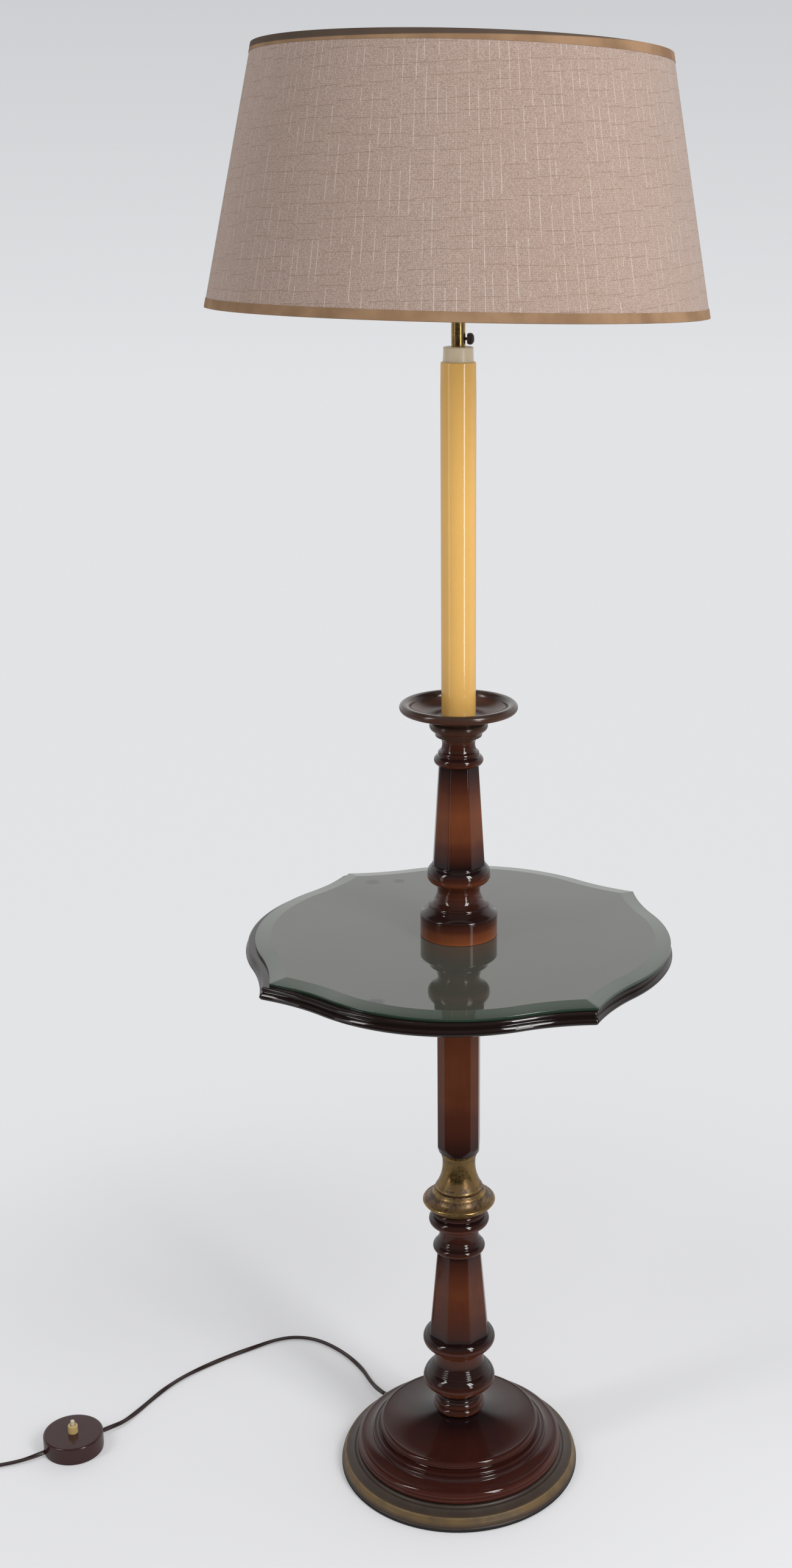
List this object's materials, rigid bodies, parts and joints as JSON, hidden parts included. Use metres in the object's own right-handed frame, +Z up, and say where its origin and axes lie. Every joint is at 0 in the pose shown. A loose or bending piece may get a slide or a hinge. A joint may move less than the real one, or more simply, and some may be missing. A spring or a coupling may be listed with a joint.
{
  "type": "floor lamp with table",
  "caption": "Turned wooden floor lamp with a glass-covered tray table round its column, a candle sleeve with a height-adjustable stem, a tapered fabric shade and a foot switch.",
  "frame": {"origin": "centre of the base on the floor", "axes": "+Z up along the column; -Y towards the viewer, +X to the viewer's right"},
  "size_m": [0.968, 0.524, 1.6555],
  "materials": {
    "mahogany": "dark red-brown gloss lacquer, rubbed lighter on the facets",
    "table_wood": "dark gloss lacquer",
    "bronzed_ring": "bronzed brass, worn bright on its ridges",
    "antique_brass": "antiqued, mottled",
    "tube_brass": "polished, spotted",
    "cast_iron": "rough",
    "steel": "zinc plated",
    "felt": "felt",
    "smoked_glass": "polished, bevelled",
    "candle_sleeve": "ivory gold",
    "candle_top": "cream",
    "knob_plastic": "dark brown",
    "holder_plastic": "dark brown",
    "ceramic": "white ceramic",
    "shade_cloth": "taupe slub weave",
    "shade_liner": "off-white laminate",
    "shade_tape": "tan tape",
    "white_wire": "off-white enamel",
    "bulb_opal": "opal",
    "bulb_metal": "bright",
    "switch_brown": "dark brown",
    "switch_cream": "aged cream",
    "flex_brown": "brown flexible PVC",
    "tie_black": "black",
    "pin_nickel": "nickel plated"
  },
  "bodies": {
    "stand": {"base_pad": "felt", "base_ring": "bronzed_ring", "base_weight": "cast_iron", "base_washer": "steel", "base_nut": "steel", "base_wood": "mahogany", "cord_grommet": "knob_plastic", "centre_tube": "steel", "inner_flex": "flex_brown", "lower_column": "mahogany", "brass_dish": "antique_brass", "brass_neck": "antique_brass", "shaft": "mahogany", "table_plate": "steel", "table_screws": "steel", "table_top": "table_wood", "glass_top": "smoked_glass", "upper_column": "mahogany", "candle_pan": "mahogany", "pan_nut": "steel", "candle_tube": "candle_sleeve", "candle_cap": "candle_top", "outer_tube": "tube_brass", "tube_coupler": "steel", "switch_housing": "switch_brown", "switch_base": "switch_brown", "switch_contacts": "ceramic", "switch_collar": "switch_cream", "cord_to_switch": "flex_brown", "cord_to_coil": "flex_brown", "cord_coil": "flex_brown", "coil_tie": "tie_black", "cord_tail": "flex_brown", "plug_body": "switch_brown", "plug_pins": "pin_nickel"},
    "stem": {"inner_tube": "tube_brass", "holder_cap": "holder_plastic", "holder_shell": "holder_plastic", "holder_insert": "ceramic", "shade_ring_lower": "holder_plastic", "shade_ring_upper": "holder_plastic", "bulb_cap": "bulb_metal", "bulb_glass": "bulb_opal"},
    "shade": {"shade_hub": "white_wire", "shade_arms": "white_wire", "shade_top_hoop": "white_wire", "shade_bottom_hoop": "white_wire", "shade_fabric": "shade_cloth", "shade_lining": "shade_liner", "tape_bottom": "shade_tape", "tape_top": "shade_tape"},
    "clamp_shank": {"clamp_screw": "tube_brass"},
    "clamp_grip": {"clamp_knob": "knob_plastic"},
    "foot_button": {"switch_button": "switch_cream"}
  },
  "joints": [
    {"name": "stem_slide", "type": "slide", "parent": "stand", "child": "stem", "axis": [0, 0, 1], "range_m": [-0.026, 0.12]},
    {"name": "shade_turn", "type": "hinge", "parent": "stem", "child": "shade", "pos_m": [0, 0, 1.4684], "axis": [0, 0, 1], "continuous": true},
    {"name": "clamp_feed", "type": "slide", "parent": "stand", "child": "clamp_shank", "axis": [1, 0, 0], "range_m": [0, 0.00105]},
    {"name": "clamp_turn", "type": "hinge", "parent": "clamp_shank", "child": "clamp_grip", "pos_m": [0.0129, 0, 1.3676], "axis": [1, 0, 0], "range_deg": [0, 540]},
    {"name": "button_press", "type": "slide", "parent": "stand", "child": "foot_button", "axis": [0, 0, -1], "range_m": [0, 0.003], "stiffness_N_per_m": 900}
  ],
  "couplings": [
    {"joint": "clamp_turn", "follows": "clamp_feed", "rad_per_m": 8976}
  ]
}
